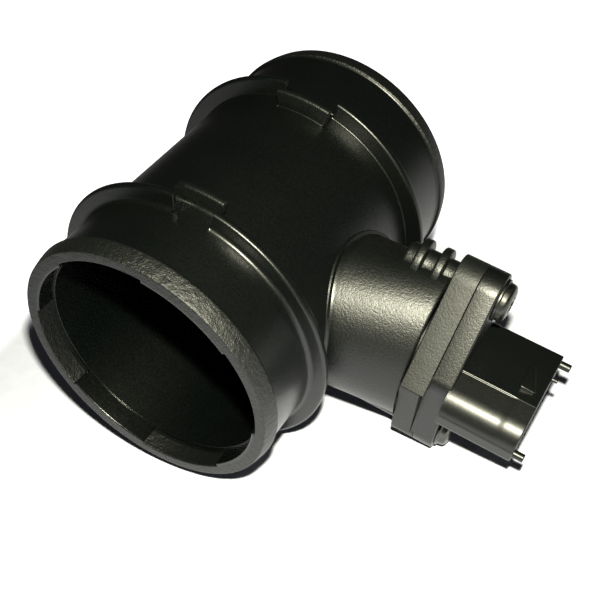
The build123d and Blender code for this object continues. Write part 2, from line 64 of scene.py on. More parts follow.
# the unit leans until the lowest ear is level with both stop ribs
earDrop = flange["reach"] * sin(radians(flange["angle"])) - stub["rise"] + flange["ear"]
lean = asin(ribs["radius"] / hypot(flange["top"], earDrop)) - atan2(earDrop, flange["top"])
alongDir = np.array([0.0, 1.0, 0.0])
stubDir = np.array([cos(lean), 0.0, -sin(lean)])
riseDir = np.array([sin(lean), 0.0, cos(lean)])
earDir = alongDir * cos(radians(flange["angle"])) + riseDir * sin(radians(flange["angle"]))
acrossDir = np.cross(stubDir, earDir)
stubOrigin = alongDir * stub["along"]
moduleOrigin = stubOrigin + riseDir * stub["rise"]


def place(origin, u, v, w, a, b, c):
    # origin + a u + b v + c w, for arrays a, b, c of one shape
    a, b, c = np.broadcast_arrays(a, b, c)
    return origin + a[..., None] * u + b[..., None] * v + c[..., None] * w


def onStub(station, along, rise):
    return place(stubOrigin, stubDir, alongDir, riseDir, station, along, rise)


def onModule(station, along, rise):
    return place(moduleOrigin, stubDir, alongDir, riseDir, station, along, rise)


def onEars(station, x, y):
    return place(moduleOrigin, stubDir, earDir, acrossDir, station, x, y)


# mesh making
def gridFaces(rows, columns, closeRows=False, closeColumns=True):
    # face (i, j) joins points i, i+1 and j, j+1, wrapped where the grid closes
    i = np.arange(rows if closeRows else rows - 1)[:, None]
    j = np.arange(columns if closeColumns else columns - 1)[None, :]
    i2, j2 = (i + 1) % rows, (j + 1) % columns
    corners = [i * columns + j, i * columns + j2, i2 * columns + j2, i2 * columns + j]
    return np.stack(corners, -1).reshape(-1, 4)


def fanFaces(ring, centre):
    # triangles from each ring point to the next and to the centre
    return np.stack([ring, np.roll(ring, -1), np.full(len(ring), centre)], -1)


def sheetOf(points, closeRows=False, closeColumns=True, capFirst=False, capLast=False, flip=False):
    # one grid of points (rows, columns, 3) as (points, quads, triangles), with fans over its open ends
    rows, columns = points.shape[:2]
    verts = points.reshape(-1, 3)
    quads = gridFaces(rows, columns, closeRows, closeColumns)
    tris = np.zeros((0, 3), int)
    if capFirst:
        verts = np.vstack([verts, points[0].mean(0)])
        tris = np.vstack([tris, fanFaces(np.arange(columns)[::-1], len(verts) - 1)])
    if capLast:
        verts = np.vstack([verts, points[-1].mean(0)])
        tris = np.vstack([tris, fanFaces(np.arange(columns) + (rows - 1) * columns, len(verts) - 1)])
    if flip:
        quads, tris = quads[:, ::-1], tris[:, ::-1]
    return verts, quads, tris


def meshPiece(name, sheets, sharp=38.0):
    # joins the sheets (mm) into one mesh in metres
    verts, loops, totals, start = [], [], [], 0
    for sheetPoints, quads, tris in sheets:
        verts.append(sheetPoints)
        loops += [(quads + start).ravel(), (tris + start).ravel()]
        totals += [np.full(len(quads), 4), np.full(len(tris), 3)]
        start += len(sheetPoints)
    verts, loops, totals = np.vstack(verts) * mm, np.concatenate(loops), np.concatenate(totals)
    mesh = bpy.data.meshes.new(name)
    mesh.vertices.add(len(verts))
    mesh.vertices.foreach_set("co", verts.ravel())
    mesh.loops.add(len(loops))
    mesh.loops.foreach_set("vertex_index", loops.astype(np.int32))
    mesh.polygons.add(len(totals))
    mesh.polygons.foreach_set("loop_start", (np.cumsum(totals) - totals).astype(np.int32))
    mesh.update(calc_edges=True)
    mesh.validate()
    mesh.shade_smooth()
    mesh.set_sharp_from_angle(angle=radians(sharp))
    piece = bpy.data.objects.new(name, mesh)
    bpy.context.scene.collection.objects.link(piece)
    return piece


def cutPiece(piece, cutters):
    # takes the cutters' volume out of the piece
    for cutter in cutters:
        modifier = piece.modifiers.new("cut", "BOOLEAN")
        modifier.object = cutter
        modifier.operation = "DIFFERENCE"
        modifier.solver = "EXACT"
    graph = bpy.context.evaluated_depsgraph_get()
    cut = bpy.data.meshes.new_from_object(piece.evaluated_get(graph))
    piece.modifiers.clear()
    piece.data = cut
    for cutter in cutters:
        bpy.data.objects.remove(cutter, do_unlink=True)
    return piece


def softPath(corners, cuts, steps=5):
    # each corner P is rounded by (1-k)^2 (P + u t) + 2k(1-k) P + k^2 (P + v t), t its cut length
    points = []
    count = len(corners)
    for index, (corner, cut) in enumerate(zip(corners, cuts)):
        p = np.array(corner, float)
        if cut == 0:
            points.append(p[None])
            continue
        before = np.array(corners[index - 1], float)
        after = np.array(corners[(index + 1) % count], float)
        a, b = p + unit(before - p) * cut, p + unit(after - p) * cut
        k = np.linspace(0, 1, steps + 1)[:, None]
        points.append((1 - k) ** 2 * a + 2 * k * (1 - k) * p + k ** 2 * b)
    return np.vstack(points)


def hullOutline(centres, radii, points):
    # outline of the hull of circles: in direction n the farthest c + r n, then even steps of length
    turn = np.linspace(0, 2 * pi, 7200, endpoint=False)
    n = np.stack([np.cos(turn), np.sin(turn)], -1)
    c, r = np.array(centres, float), np.array(radii, float)
    owner = np.argmax(n @ c.T + r, axis=1)
    line = c[owner] + r[owner, None] * n
    step = np.linalg.norm(np.roll(line, -1, 0) - line, axis=1)
    length = np.concatenate([[0], np.cumsum(step)])
    want = np.linspace(0, length[-1], points, endpoint=False)
    wrap = np.vstack([line, line[:1]])
    out = np.stack([np.interp(want, length, wrap[:, k]) for k in (0, 1)], -1)
    normal = np.stack([np.interp(want, length, np.append(n[:, k], n[0, k])) for k in (0, 1)], -1)
    normal /= np.linalg.norm(normal, axis=1)[:, None]
    nearest = owner[np.searchsorted(length, want, side="right").clip(1, len(turn)) - 1]
    return out, normal, nearest


def blockPiece(low, high, name="cutter"):
    # box between two (station, along, rise) corners of the module
    low, high = np.array(low, float), np.array(high, float)
    s = np.array([[low[0]] * 4, [high[0]] * 4])
    y = np.array([[low[1], high[1], high[1], low[1]]] * 2)
    b = np.array([[low[2], low[2], high[2], high[2]]] * 2)
    return meshPiece(name, [sheetOf(onModule(s, y, b), capFirst=True, capLast=True)])


def turnedSheet(path, count, origin, u, v, w, lobes=None, **options):
    # path of (r, h) turned about w: origin + h w + r (u cos t + v sin t)
    t = np.linspace(0, 2 * pi, count, endpoint=False)
    r, h = path[:, 0][:, None], path[:, 1][:, None]
    r = r * np.ones_like(t) if lobes is None else lobes(r, h, t)
    return sheetOf(place(origin, u, v, w, r * np.cos(t), r * np.sin(t), h), **options)


def smoothStep(x, a, b):
    k = np.clip((x - a) / (b - a), 0, 1)
    return k * k * (3 - 2 * k)


# air tube: a turned wall whose mouth steps out over four arcs
def airTubeShell():
    t = tube
    # each bead is crowned: from the rim it rises by (1 - (1 - k)^1.5) of its height over its width
    crown = [(t["rim"] + (t["bead"] - t["rim"]) * (1 - (1 - k) ** 1.5), t["beadWidth"] * k)
             for k in (0.2, 0.4, 0.6, 0.8)]
    farCrown = [(r, t["length"] - y) for r, y in reversed(crown)]
    farEnd = t["length"]
    path = softPath([(t["mouth"], 0), (t["rim"], 0), *crown, (t["bead"], t["beadWidth"]),
                     (t["land"], t["beadWidth"] + t["beadRamp"]), (t["land"], ribs["front"] + 1),
                     (t["barrel"], ribs["front"] + 1.2), (t["barrel"], ribs["rear"] + 1),
                     (t["land"], ribs["rear"] + 1.2),
                     (t["land"], farEnd - t["beadWidth"] - t["beadRamp"]),
                     (t["bead"], farEnd - t["beadWidth"]), *farCrown, (t["rim"], farEnd),
                     (t["seat"], farEnd), (t["seat"], farEnd - t["seatDepth"]),
                     (t["bore"], farEnd - t["seatDepth"]), (t["bore"], t["mouthDepth"]),
                     (t["mouth"], t["mouthDepth"])],
                    [0.45, 0.3, 0, 0, 0, 0, 0.4, 0.35, 0, 0, 0, 0,
                     0.35, 0.4, 0, 0, 0, 0, 0.3, 0.4, 0.15, 0.3, 0.12, 0])
    turn = np.arange(t["columns"]) * 2 * pi / t["columns"]
    sector = ((np.degrees(turn) - t["arcFirst"]) % 90.0) < t["arcSpan"]
    out = np.where(sector, t["arcRadius"] - t["mouth"], 0.0)
    r = path[:, 0][:, None] * np.ones_like(turn)
    y = path[:, 1][:, None] * np.ones_like(turn)
    mouth = (path[:, 1] < 1.0) & (path[:, 0] < t["mouth"] + 0.6)
    r[mouth] += out
    r[-1] += out
    # angle t counts from the stub over the top: r (d cos t + b sin t)
    points = place(np.zeros(3), stubDir, riseDir, alongDir, r * np.cos(turn), r * np.sin(turn), y)
    return sheetOf(points, closeRows=True, flip=True)


def ribSheet(start, landSide, first, last):
    # the rib's section carried along an arc: points (r, y) at angle t, smaller at both ends
    near, far = (start, start + ribs["width"]) if landSide < 0 else (start + ribs["width"], start)
    foot, crest = near + landSide * ribs["root"], ribs["radius"]
    draft = ribs["draft"] * landSide
    base = tube["barrel"] - ribs["sink"]
    buried = far - landSide * 0.5
    path = softPath([(base, foot), (tube["land"], foot), (tube["land"] + 0.02, near),
                     (crest, near - draft), (crest, far + draft), (tube["barrel"], far),
                     (tube["barrel"], buried), (base, buried)],
                    [0, 0, ribs["root"] * 0.98, ribs["crestEdge"], ribs["crestEdge"], 0.45, 0, 0])
    count = max(int((last - first) * 1.5), 8)
    turn = np.radians(np.concatenate([[first], np.linspace(first + 0.25, last - 0.25, count), [last]]))
    shrink = np.zeros(len(turn))
    shrink[[0, -1]] = 0.25
    middle = np.array([(base + crest) / 2, (near + far) / 2])
    away = path - middle
    size = 1 - shrink[:, None, None] * np.linalg.norm(away, axis=1, keepdims=True)[None] ** -1
    section = middle + away[None] * size
    r, y = section[..., 0], section[..., 1]
    c, s = np.cos(turn)[:, None], np.sin(turn)[:, None]
    points = place(np.zeros(3), stubDir, riseDir, alongDir, r * c, r * s, y)
    return sheetOf(points, capFirst=True, capLast=True, flip=landSide < 0)


def linkSheet():
    # the short wall between the front rib's two stretches: a rounded section carried along the axis
    r, edge = ribs["radius"] - 0.3, ribs["linkEdge"]
    last = radians(ribs["middle"] + ribs["frontSpan"] / 2)
    first, end = last - radians(0.8), last + radians(ribs["link"])
    base = tube["barrel"] - ribs["sink"]
    path = softPath([(base, first), (r, first), (r, end), (base, end)], [0, edge / r, edge / r, 0])
    radius, angle = path[:, 0], path[:, 1]
    low, high = ribs["front"] + 0.4, ribs["front"] + ribs["frontJog"] + ribs["width"] - 0.4
    y = np.array([[low], [high]])
    points = place(np.zeros(3), stubDir, riseDir, alongDir,
                   radius * np.cos(angle), radius * np.sin(angle), y)
    return sheetOf(points, capFirst=True, capLast=True)


def stopRibs():
    sheets = []
    for start, jog, span, landSide in ((ribs["front"], ribs["frontJog"], ribs["frontSpan"], -1),
                                       (ribs["rear"], ribs["rearJog"], ribs["rearSpan"], 1)):
        first, last = ribs["middle"] - span / 2, ribs["middle"] + span / 2
        sheets.append(ribSheet(start, landSide, last, first + 360))
        sheets.append(ribSheet(start + jog, landSide, first, last))
    return sheets + [linkSheet()]


# stub: rulings from a round root to an oval top, flared at the flange
def stubSheet():
    p = np.linspace(0, 2 * pi, stub["columns"], endpoint=False)[None, :]
    bottom = onEarsOffset(stub["rootRadius"] * np.cos(p), stub["rootRadius"] * np.sin(p), -stub["rise"])
    top = onEarsOffset(stub["topLong"] * np.cos(p), stub["topShort"] * np.sin(p), 0.0)
    h = flange["base"] - stub["rootStation"]
    # station where the ruling meets the tube: s^2 + b^2 = r^2, solved by a few repeats
    s = np.full(p.shape, 30.0)
    for _ in range(30):
        k = (s - stub["rootStation"]) / h
        rise = bottom[1] * (1 - k) + top[1] * k
        s = np.sqrt(np.maximum(tube["barrel"] ** 2 - rise ** 2, 1.0))
    meet = s
    rows = np.concatenate([[-0.8, 0.0], np.linspace(0.02, 0.05, 3), np.linspace(0.08, 0.9, 22),
                           np.linspace(0.92, 1, 9)])[:, None]
    s = np.where(rows < 0, meet - 0.8, meet + np.clip(rows, 0, 1) * (flange["base"] - meet))
    k = (s - stub["rootStation"]) / h
    along, rise = bottom[0] * (1 - k) + top[0] * k, bottom[1] * (1 - k) + top[1] * k
    # flare d: R - sqrt(R^2 - (R - d)^2) where d is the way to the flange or to the tube
    def flare(d, radius):
        near = np.clip(radius - d, 0, radius)
        return radius - np.sqrt(radius ** 2 - near ** 2)
    out = flare(flange["base"] - s, stub["topFlare"]) + flare(np.maximum(s - meet, 0), stub["rootFlare"])
    ny, nb = np.cos(p), np.sin(p)
    dirY = cos(radians(flange["angle"])) * ny - sin(radians(flange["angle"])) * nb
    dirB = sin(radians(flange["angle"])) * ny + cos(radians(flange["angle"])) * nb
    return sheetOf(onStub(s, along + out * dirY, rise + out * dirB))


def onEarsOffset(x, y, rise):
    # (along, rise) from the stub's axis of a point (x, y) in the ears' own directions
    a = radians(flange["angle"])
    along = x * cos(a) - y * sin(a)
    up = x * sin(a) + y * cos(a) + stub["rise"] + rise
    return along, up


# flanges: the hull of two ears and two shoulders, with rounded rims
def flangeOutline(kind):
    sides = {"module": ("shoulderX", "shoulderY", "shoulder"),
             "housing": ("cornerX", "cornerY", "corner")}
    x, y, r = (flange[key] for key in sides[kind])
    centres = [(flange["reach"], 0), (-flange["reach"], 0), (x, y), (-x, -y)]
    return hullOutline(centres, [flange["ear"]] * 2 + [r] * 2, flange["points"])


def flangeSheet(kind, low, high, lowEdge, highEdge, earLow=0.0, earHigh=0.0):
    # rows (inset, station) round both rims; the ears' rows lie earLow and earHigh further out
    line, normal, owner = flangeOutline(kind)
    k = np.linspace(0, pi / 2, 6)
    inset = np.concatenate([lowEdge * (1 - np.sin(k)), highEdge * (1 - np.cos(k))])
    station = np.concatenate([low + lowEdge * (1 - np.cos(k)), high - highEdge * (1 - np.sin(k))])
    onEar = (owner < 2).astype(float)[None, :]
    shift = np.concatenate([np.full(6, earLow), np.full(6, earHigh)])[:, None] * onEar
    xy = line[None] - normal[None] * inset[:, None, None]
    points = onEars(station[:, None] + shift, xy[..., 0], xy[..., 1])
    return sheetOf(points, capFirst=True, capLast=True)


# screw bosses: turned about each screw axis, the upper one with two stiffening collars
boss = {"radius": 4.0, "start": 40.2, "fin": 6.0, "width": 2.4, "stations": (44.2, 49.5), "edge": 0.6,
        "root": 0.3, "nose": 1.0}


def bossSheet(side):
    corners, cuts = [(0.02, boss["start"]), (boss["radius"], boss["start"])], [0, boss["nose"]]
    for station in boss["stations"] if side > 0 else ():
        low, high = station - boss["width"] / 2, station + boss["width"] / 2
        corners += [(boss["radius"], low), (boss["fin"], low + 0.12), (boss["fin"], high - 0.12),
                    (boss["radius"], high)]
        cuts += [boss["root"], boss["edge"], boss["edge"], boss["root"]]
    corners += [(boss["radius"], flange["base"]), (boss["radius"] + 0.6, flange["base"] + 0.3)]
    cuts += [0.5, 0]
    path = softPath(corners, cuts, 4)
    origin = moduleOrigin + earDir * side * flange["reach"]
    return turnedSheet(path, 96, origin, earDir, acrossDir, stubDir, capFirst=True)


# flange screws: washer face, rounded head, six lobes round a centre pin
screw = {"shank": 2.25, "tip": 44.0, "washer": 5.4, "washerHeight": 0.7, "head": 5.0, "height": 3.0,
         "core": 1.75, "lobe": 0.62, "depth": 1.9, "pin": 0.7, "pinDrop": 0.35}


def screwSheet(side):
    w = screw
    top = flange["top"]
    washer, crest = top + w["washerHeight"], top + w["height"]
    pinTop = top + w["height"] - w["pinDrop"]
    socketFloor = top + w["height"] - w["depth"]
    outer = softPath([(0.05, w["tip"] + 0.01), (w["shank"], w["tip"]), (w["shank"], top),
                      (w["washer"], top), (w["washer"], washer), (w["head"] - 0.1, washer),
                      (w["head"] - 0.35, top + w["height"] - 0.55), (3.2, crest),
                      (w["core"], crest), (w["core"], socketFloor), (w["pin"], socketFloor),
                      (w["pin"], pinTop), (0.02, pinTop)],
                     [0, 0.5, 0, 0.25, 0.25, 0.2, 0.7, 0.6, 0.16, 0.1, 0.1, 0.15, 0], 6)

    def lobed(r, h, t):
        # the socket's wall swells by lobe * (1 + cos 6t) / 2, less the farther out the ring lies
        inSocket = (h > socketFloor - 0.2) & (r < 2.4) & (r > w["pin"] + 0.3)
        fade = np.clip((2.6 - r) / (2.6 - w["core"]), 0, 1) * inSocket
        return r + w["lobe"] * fade * (0.5 + 0.5 * np.cos(6 * t)) ** 1.5

    origin = moduleOrigin + earDir * side * flange["reach"]
    return turnedSheet(outer, 144, origin, earDir, acrossDir, stubDir, lobes=lobed)


# connector: a keyed shell whose top steps down beside a fine line
connector = {"end": 83.7, "width": 29.0, "height": 10.7, "offset": -2.5, "rise": 2.1, "ridge": -7.1,
             "fall": 12.0, "fold": 0.35, "round": 6.5, "corner": 1.2,
             "wall": 1.7, "floor": 70.0, "rim": 0.3, "points": 1000, "step": 0.3, "stepRun": 0.2,
             "stripTop": 1.0, "strip": 0.22, "draft": 0.22,
             "latchStation": 78.6, "latchFoot": 2.7, "latchFront": -3.4, "latchBack": 2.6,
             "latchRadius": 0.9, "latchHeight": 1.1, "peg": 1.05, "pegInset": 0.25, "pegLength": 2.7,
             "keyLength": 7.0,
             "rearPegRise": 5.0, "frontPegRise": -0.7, "pin": 0.55, "pinLength": 1.4, "pinAlong": 3.7,
             "pinRise": 6.6}


def shellRing(inset):
    # hull of five circles: the fold on top, the large front corner below its fall, three small corners;
    # the large circle also reaches below the small ones, so the underside is deeper near the front
    c = connector
    front, rear = c["offset"] - c["width"] / 2 + inset, c["offset"] + c["width"] / 2 - inset
    low, high = c["rise"] - c["height"] / 2 + inset, c["rise"] + c["height"] / 2 - inset
    fall, big, small, fold = radians(c["fall"]), c["round"] - inset, c["corner"], c["fold"]
    ridge = c["ridge"] + inset * tan(fall / 2)
    brow = high - (ridge - front - big * (1 - sin(fall))) * tan(fall) - big * cos(fall)
    centres = [(front + big, brow), (ridge + fold * tan(fall / 2), high - fold),
               (front + small, low + small), (rear - small, high - small), (rear - small, low + small)]
    line, normal, _ = hullOutline(centres, [big, fold, small, small, small], c["points"])
    return line, normal


def connectorSheet():
    c = connector
    line, normal = shellRing(0)
    root = flange["top"] - flange["edge"]
    stations = np.concatenate([[root], np.linspace(flange["top"], c["end"] - c["rim"], 40)])
    k = np.linspace(0, pi / 2, 5)
    rim = c["rim"]
    s = np.concatenate([stations, c["end"] - rim * (1 - np.sin(k[1:]))])
    inset = np.concatenate([np.zeros(len(stations)), rim * (1 - np.cos(k[1:]))])
    outer = line[None] - normal[None] * inset[:, None, None]
    # the top is lower by a step beyond the fine line, and the step fades towards the mouth
    beyond = smoothStep(c["ridge"] - line[:, 0], -c["stepRun"], c["stepRun"])
    lower = beyond * smoothStep(line[:, 1], 1, 4)
    fade = c["step"] * (1 - 0.75 * smoothStep(s, 77.5, 79.5))
    # below the parting line the front wall stands proud and draws back towards its foot
    below = np.clip(c["stripTop"] - line[:, 1], 0, None) * (line[:, 0] < 0)
    foot = c["stripTop"] - c["rise"] + c["height"] / 2
    proud = c["strip"] * smoothStep(below, 0, 0.35) - c["draft"] * below / foot
    proud *= (line[:, 0] < c["offset"] - c["width"] / 2 + 1.5)
    outer = np.stack([outer[..., 0] - proud[None], outer[..., 1] - lower[None] * fade[:, None]], -1)
    inner, innerNormal = shellRing(c["wall"])
    lip = c["end"] - rim * (1 - np.cos(k))
    lipInset = -rim * (1 - np.sin(k))
    innerS = np.concatenate([lip, [c["floor"] + 0.3, c["floor"]]])
    innerInset = np.concatenate([lipInset, [0.0, 0.3]])
    bore = inner[None] - innerNormal[None] * innerInset[:, None, None]
    # both rings start at the same corner, so the mouth's rows join point to point
    rings = np.concatenate([outer, bore])
    stationAll = np.concatenate([s, innerS])[:, None]
    return sheetOf(onStub(stationAll, rings[..., 0], rings[..., 1]), capLast=True)


def pegSheet(along, rise, radius, length):
    c = connector
    low, high = c["end"] - c["keyLength"], c["end"] + length
    path = softPath([(radius, low), (radius, high), (0.02, high)], [0, 0.28 * radius, 0])
    origin = stubOrigin + alongDir * along + riseDir * rise
    return turnedSheet(path, 40, origin, alongDir, riseDir, stubDir, capFirst=True, capLast=True)


def latchSheet():
    # a wedge on the hull of three circles, its height falling with the station
    c = connector
    centres = [(c["latchStation"], c["latchFront"]), (c["latchStation"], c["latchBack"]),
               (c["latchStation"] + c["latchFoot"], c["latchFront"])]
    radii = [c["latchRadius"], c["latchRadius"], c["latchRadius"] * 0.7]
    line, normal, _ = hullOutline(centres, radii, 160)
    k = np.linspace(0, pi / 2, 6)
    base = c["rise"] + c["height"] / 2
    inset = np.concatenate([[0.0], 0.35 * (1 - np.cos(k))])
    level = np.concatenate([[base - 0.2], base + c["latchHeight"] - 0.35 * (1 - np.sin(k))])
    ring = line[None] - normal[None] * inset[:, None, None]
    start = c["latchStation"]
    fall = 0.5 * smoothStep(ring[..., 0], start - 0.3, start + c["latchFoot"] + 0.7)
    rise = level[:, None] - fall * (level[:, None] > base)
    return sheetOf(onStub(ring[..., 0], ring[..., 1], rise), capLast=True, flip=True)


# plug, finger and their hollows
plug = {"bore": 11.4, "gap": 0.15, "end": 40.0, "seal": 50.5, "groove": 9.6, "grooveHalf": 1.4}
finger = {"width": 18.6, "thick": 9.6, "edge": 1.2, "tip": -13.0, "floor": 1.6, "cover": 0.9, "lap": 0.8,
          "pocketStart": 13.0, "pocketEnd": 38.6, "pocketWidth": 14.6, "ledge": 35.6, "ledgeRise": -0.62,
          "channel": 3.6, "channelFloor": -2.8, "inlet": 1.0, "outlet": -8.0, "turn": -4.0,
          "window": 7.75, "windowLength": 3.6, "windowAlong": 5.0, "windowWidth": 6.0,
          "coverEnd": 10.8, "coverWidth": 17.0, "carrier": 1.7, "carrierFloor": -1.0}


def plugSheet():
    r = plug["bore"] - plug["gap"]
    low, high = plug["seal"] - plug["grooveHalf"], plug["seal"] + plug["grooveHalf"]
    top = flange["seam"] + 0.5
    path = softPath([(0.02, plug["end"]), (r, plug["end"]), (r, low), (plug["groove"], low),
                     (plug["groove"], high), (r, high), (r, top), (0.02, top)],
                    [0, 0.5, 0.15, 0.2, 0.2, 0.15, 0, 0])
    return turnedSheet(path, 160, moduleOrigin, alongDir, riseDir, stubDir, capFirst=True, capLast=True)


def fingerPiece():
    f = finger
    half, thick = f["width"] / 2, f["thick"] / 2
    e = f["edge"]
    centres = [(a * (half - e), b * (thick - e)) for a in (-1, 1) for b in (-1, 1)]
    line, normal, _ = hullOutline(centres, [e] * 4, 240)
    k = np.linspace(0, pi / 2, 6)
    s = np.concatenate([f["tip"] + 0.5 * (1 - np.sin(k[::-1])), [plug["end"] + 0.5]])
    inset = np.concatenate([0.5 * (1 - np.cos(k[::-1])), [0.0]])
    ring = line[None] - normal[None] * inset[:, None, None]
    body = meshPiece("measuringFinger", [sheetOf(onModule(s[:, None], ring[..., 0], ring[..., 1]),
                                                 capFirst=True, capLast=True)])
    h, c, w = f["channel"] / 2, f["pocketWidth"] / 2, f["coverWidth"] / 2
    low, high = f["floor"] - thick, thick + 1
    cover, lap = thick - f["cover"], f["lap"]
    floor, turn = f["channelFloor"], f["turn"]
    windowHalf, windowReach = f["windowLength"] / 2, f["windowWidth"] / 2
    cutters = [
        blockPiece((f["pocketStart"], -c, low), (f["ledge"], c, high)),
        blockPiece((f["ledge"] - 0.01, -c, f["ledgeRise"]), (f["pocketEnd"], c, high)),
        blockPiece((f["pocketStart"] - lap, -c - lap, cover), (f["pocketEnd"] + lap, c + lap, high)),
        blockPiece((f["inlet"] - h, turn - h, floor), (f["inlet"] + h, half + 3, high)),
        blockPiece((f["outlet"] - h, turn - h, floor), (f["inlet"] + h, turn + h, high)),
        blockPiece((f["outlet"] - h, -half - 3, floor), (f["outlet"] + h, turn + h, high)),
        blockPiece((f["tip"] + lap, -w, cover), (f["coverEnd"], w, high)),
        blockPiece((f["inlet"], turn - f["carrier"], f["carrierFloor"]),
                   (f["pocketStart"] + lap, turn + f["carrier"], cover + 0.01)),
        blockPiece((f["window"] - windowHalf, f["windowAlong"] - windowReach, -thick - 2),
                   (f["window"] + windowHalf, f["windowAlong"] + windowReach, high)),
    ]
    return cutPiece(body, cutters)


# woven screen and its ring in the rear mouth
screen = {"radius": 31.5, "start": 90.0, "thick": 0.5, "pitch": 1.25, "wire": 0.13, "rim": 1.6,
          "steps": 150, "sides": 6, "ringWall": 1.9, "ringHeight": 2.6, "edge": 0.35}


def screenSheets():
    # wire at place x: radius c, points (x, q, +-a cos(pi q / pitch)) round a six-sided section
    s = screen
    half = s["radius"] - 0.6
    count = int(half / s["pitch"])
    places = (np.arange(-count, count + 1)) * s["pitch"]
    reach = np.sqrt(np.maximum(half ** 2 - places ** 2, 0.5))[:, None, None]
    q = np.linspace(-1, 1, s["steps"])[None, :, None] * reach
    turn = (np.arange(s["sides"]) * 2 * pi / s["sides"])[None, None, :]
    side = np.where(np.arange(len(places)) % 2 == 0, 1.0, -1.0)[:, None, None]
    middle = s["start"] + s["thick"] / 2
    sheets = []
    for flipped in (False, True):
        sign = -side if flipped else side
        wave = sign * s["wire"] * 0.95 * np.cos(pi * q / s["pitch"])
        x = places[:, None, None] + s["wire"] * np.cos(turn) + 0 * q
        y = middle + wave + s["wire"] * np.sin(turn)
        z = q + 0 * turn
        points = np.stack([z + 0 * x, y, x] if flipped else [x, y, z + 0 * x], -1)
        rows = points.reshape(-1, s["sides"], 3)
        faces = gridFaces(s["steps"], s["sides"])
        start = (np.arange(len(places)) * s["steps"] * s["sides"])[:, None, None]
        quads = (faces[None] + start).reshape(-1, 4)
        sheets.append((rows.reshape(-1, 3), quads if flipped else quads[:, ::-1], np.zeros((0, 3), int)))
    # a crimped band holds the wires' ends
    inner, outer, low, high = s["radius"] - s["rim"], s["radius"], s["start"], s["start"] + s["thick"]
    band = softPath([(inner, low), (outer, low), (outer, high), (inner, high)], [0.12] * 4, 3)
    sheets.append(turnedSheet(band, 240, np.zeros(3), np.array([1.0, 0, 0]), np.array([0, 0, -1.0]),
                              alongDir, closeRows=True))
    return sheets


def ringSheet():
    s = screen
    low = s["start"] + s["thick"]
    high = low + s["ringHeight"]
    outer, inner = tube["seat"], tube["seat"] - s["ringWall"]
    path = softPath([(inner, low), (outer, low), (outer, high), (inner, high)],
                    [0.15, 0.15, s["edge"], s["edge"]])
    return turnedSheet(path, 240, np.zeros(3), np.array([1.0, 0, 0]), np.array([0, 0, -1.0]), alongDir,
                       closeRows=True)


# materials
def materialNodes(name):
    material = bpy.data.materials.new(name)
    material.use_nodes = True
    nodes, links = material.node_tree.nodes, material.node_tree.links
    shader = nodes["Principled BSDF"]
    coords = nodes.new("ShaderNodeTexCoord")
    return material, nodes, links, shader, coords.outputs["Object"]


def noise(nodes, links, coords, scale, detail=3.0, rough=0.55, stretch=None):
    node = nodes.new("ShaderNodeTexNoise")
    node.inputs["Scale"].default_value = scale
    node.inputs["Detail"].default_value = detail
    node.inputs["Roughness"].default_value = rough
    source = coords
    if stretch:
        mapping = nodes.new("ShaderNodeMapping")
        mapping.inputs["Scale"].default_value = stretch
        links.new(coords, mapping.inputs["Vector"])
        source = mapping.outputs["Vector"]
    links.new(source, node.inputs["Vector"])
    return node.outputs["Fac"]


def ramp(nodes, links, value, stops):
    node = nodes.new("ShaderNodeValToRGB")
    while len(node.color_ramp.elements) < len(stops):
        node.color_ramp.elements.new(0.5)
    for element, (position, colour) in zip(node.color_ramp.elements, stops):
        element.position = position
        element.color = (*colour, 1.0) if len(colour) == 3 else colour
    links.new(value, node.inputs["Fac"])
    return node.outputs["Color"]


def mix(nodes, links, factor, a, b, mode="MIX"):
    node = nodes.new("ShaderNodeMix")
    node.data_type = "RGBA"
    node.blend_type = mode
    for socket, value in ((node.inputs["Factor"], factor), (node.inputs["A"], a), (node.inputs["B"], b)):
        if isinstance(value, bpy.types.NodeSocket):
            links.new(value, socket)
        else:
            socket.default_value = value if isinstance(value, float) else (*value, 1.0)
    return node.outputs["Result"]


def spread(nodes, links, value, low, high):
    node = nodes.new("ShaderNodeMapRange")
    node.inputs["From Min"].default_value = 0.3
    node.inputs["From Max"].default_value = 0.7
    node.inputs["To Min"].default_value = low
    node.inputs["To Max"].default_value = high
    links.new(value, node.inputs["Value"])
    return node.outputs["Result"]


def bump(nodes, links, shader, layers):
    # layers of (height value, strength, distance), each over the one before
    normal = None
    for value, strength, distance in layers:
        node = nodes.new("ShaderNodeBump")
        if isinstance(strength, bpy.types.NodeSocket):
            links.new(strength, node.inputs["Strength"])
        else:
            node.inputs["Strength"].default_value = strength
        node.inputs["Distance"].default_value = distance
        links.new(value, node.inputs["Height"])
        if normal:
            links.new(normal, node.inputs["Normal"])
        normal = node.outputs["Normal"]
    links.new(normal, shader.inputs["Normal"])


def mathNode(nodes, links, operation, *values):
    node = nodes.new("ShaderNodeMath")
    node.operation = operation
    for socket, value in zip(node.inputs, values):
        if isinstance(value, bpy.types.NodeSocket):
            links.new(value, socket)
        else:
            socket.default_value = value
    return node.outputs["Value"]


def easeNode(nodes, links, value, low, high, toLow=0.0, toHigh=1.0):
    # one value below low and the other above high, with an eased step between
    node = nodes.new("ShaderNodeMapRange")
    node.interpolation_type = "SMOOTHSTEP"
    for name, number in (("From Min", low), ("From Max", high), ("To Min", toLow), ("To Max", toHigh)):
        node.inputs[name].default_value = number
    links.new(value, node.inputs["Value"])
    return node.outputs["Result"]


# where the moulds' skins change, in mm: radius about the tube's axis, or distance along it from the stub
skinZones = {"coreTo": 30.8, "outsideFrom": 31.6, "tubeTo": 34.5, "branchFrom": 36.5, "stubTo": 22.5,
             "besideFrom": 23.6, "beadRun": 0.4, "flangeRun": 0.1}


